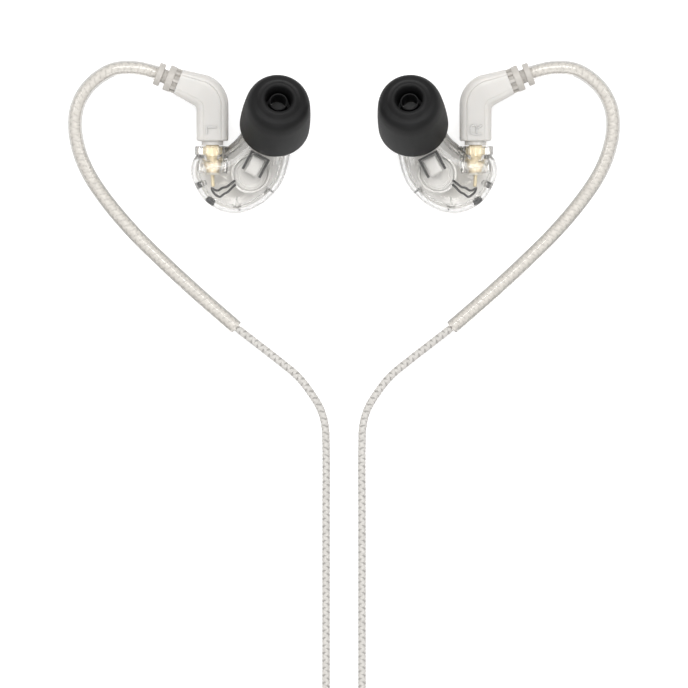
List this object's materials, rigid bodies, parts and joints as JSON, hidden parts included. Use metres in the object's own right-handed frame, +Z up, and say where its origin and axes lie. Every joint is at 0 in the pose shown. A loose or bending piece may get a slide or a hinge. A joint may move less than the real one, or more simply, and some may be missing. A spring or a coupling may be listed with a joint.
{
  "type": "in ear monitors",
  "caption": "Pair of clear shell in ear monitors with black ear tips, swivelling plugs, formed ear hooks and a braided Y cable, laid flat with the spare cable coiled.",
  "frame": {"origin": "on the ground, under the middle of the box round the two earpieces and their ear hooks; x = 0 is the plane between left and right", "axes": "+X towards the right earpiece, +Y towards the tops of the ear hooks, +Z up, the way the ear tips point"},
  "size_m": [0.1036, 0.2325, 0.0229],
  "materials": {
    "clear_shell": "clear polished plastic",
    "screen_mesh": "fine woven metal mesh",
    "driver_metal": "satin drawn steel can",
    "magnet": "nickel plated magnet",
    "diaphragm_film": "thin formed film",
    "black_rubber": "matt black rubber",
    "gold_contact": "gold plated, satin",
    "wire_insulation": "black enamel, slight gloss",
    "vent_black": "black acoustic mesh",
    "ear_tip_silicone": "black silicone, satin with a fine matt grain",
    "spring_steel": "polished spring wire",
    "milky_plastic": "milky translucent plastic with a fine moulded grain",
    "relief_elastomer": "soft greige elastomer",
    "hook_sleeve": "clear soft tube, glossy",
    "cable_braid": "clear jacketed braided strands over silvered wire"
  },
  "bodies": {
    "cable_assembly": {"left_plug_barrel": "gold_contact", "left_plug_pin": "gold_contact", "left_boot": "milky_plastic", "left_strain_relief": "relief_elastomer", "left_hook_tube": "hook_sleeve", "left_hook_cable": "cable_braid", "left_branch_cable": "cable_braid", "left_branch_coil": "cable_braid", "left_branch_tail": "cable_braid", "right_plug_barrel": "gold_contact", "right_plug_pin": "gold_contact", "right_boot": "milky_plastic", "right_strain_relief": "relief_elastomer", "right_hook_tube": "hook_sleeve", "right_hook_cable": "cable_braid", "right_branch_cable": "cable_braid", "right_branch_coil": "cable_braid", "right_branch_tail": "cable_braid", "splitter": "milky_plastic", "main_lead": "cable_braid", "main_coil": "cable_braid", "main_tail": "cable_braid", "plug_relief": "relief_elastomer", "plug_housing": "milky_plastic", "jack_sleeve": "gold_contact", "jack_ring": "gold_contact", "jack_tip": "gold_contact"},
    "chin_slider": {"chin_slider": "milky_plastic"},
    "left_snap_ring": {"left_snap_ring": "spring_steel"},
    "left_earpiece": {"left_shell_outer": "clear_shell", "left_shell_inner": "clear_shell", "left_nozzle": "clear_shell", "left_nozzle_screen": "screen_mesh", "left_driver_housing": "driver_metal", "left_driver_magnet": "magnet", "left_driver_diaphragm": "diaphragm_film", "left_armature_driver": "driver_metal", "left_driver_cradle": "black_rubber", "left_socket_body": "gold_contact", "left_socket_pin": "gold_contact", "left_wire_signal": "wire_insulation", "left_wire_ground": "wire_insulation", "left_vent_screen": "vent_black"},
    "left_ear_tip": {"left_ear_tip": "ear_tip_silicone"},
    "right_snap_ring": {"right_snap_ring": "spring_steel"},
    "right_earpiece": {"right_shell_outer": "clear_shell", "right_shell_inner": "clear_shell", "right_nozzle": "clear_shell", "right_nozzle_screen": "screen_mesh", "right_driver_housing": "driver_metal", "right_driver_magnet": "magnet", "right_driver_diaphragm": "diaphragm_film", "right_armature_driver": "driver_metal", "right_driver_cradle": "black_rubber", "right_socket_body": "gold_contact", "right_socket_pin": "gold_contact", "right_wire_signal": "wire_insulation", "right_wire_ground": "wire_insulation", "right_vent_screen": "vent_black"},
    "right_ear_tip": {"right_ear_tip": "ear_tip_silicone"}
  },
  "joints": [
    {"name": "left_swivel", "type": "hinge", "parent": "cable_assembly", "child": "left_snap_ring", "pos_m": [-0.0247, 0.00745, 0.0055], "axis": [0, 1, 0], "range_deg": [-90, 180]},
    {"name": "left_unplug", "type": "slide", "parent": "left_snap_ring", "child": "left_earpiece", "axis": [0, -1, 0], "range_m": [0, 0.008]},
    {"name": "left_tip_pull", "type": "slide", "parent": "left_earpiece", "child": "left_ear_tip", "axis": [0.0716, 0.409, 0.9097], "range_m": [0, 0.01]},
    {"name": "right_swivel", "type": "hinge", "parent": "cable_assembly", "child": "right_snap_ring", "pos_m": [0.0247, 0.00745, 0.0055], "axis": [0, 1, 0], "range_deg": [-180, 90]},
    {"name": "right_unplug", "type": "slide", "parent": "right_snap_ring", "child": "right_earpiece", "axis": [0, -1, 0], "range_m": [0, 0.008]},
    {"name": "right_tip_pull", "type": "slide", "parent": "right_earpiece", "child": "right_ear_tip", "axis": [-0.0716, 0.409, 0.9097], "range_m": [0, 0.01]},
    {"name": "slider_slide", "type": "slide", "parent": "cable_assembly", "child": "chin_slider", "axis": [0, 1, 0], "range_m": [-0.008, 0.008]}
  ]
}
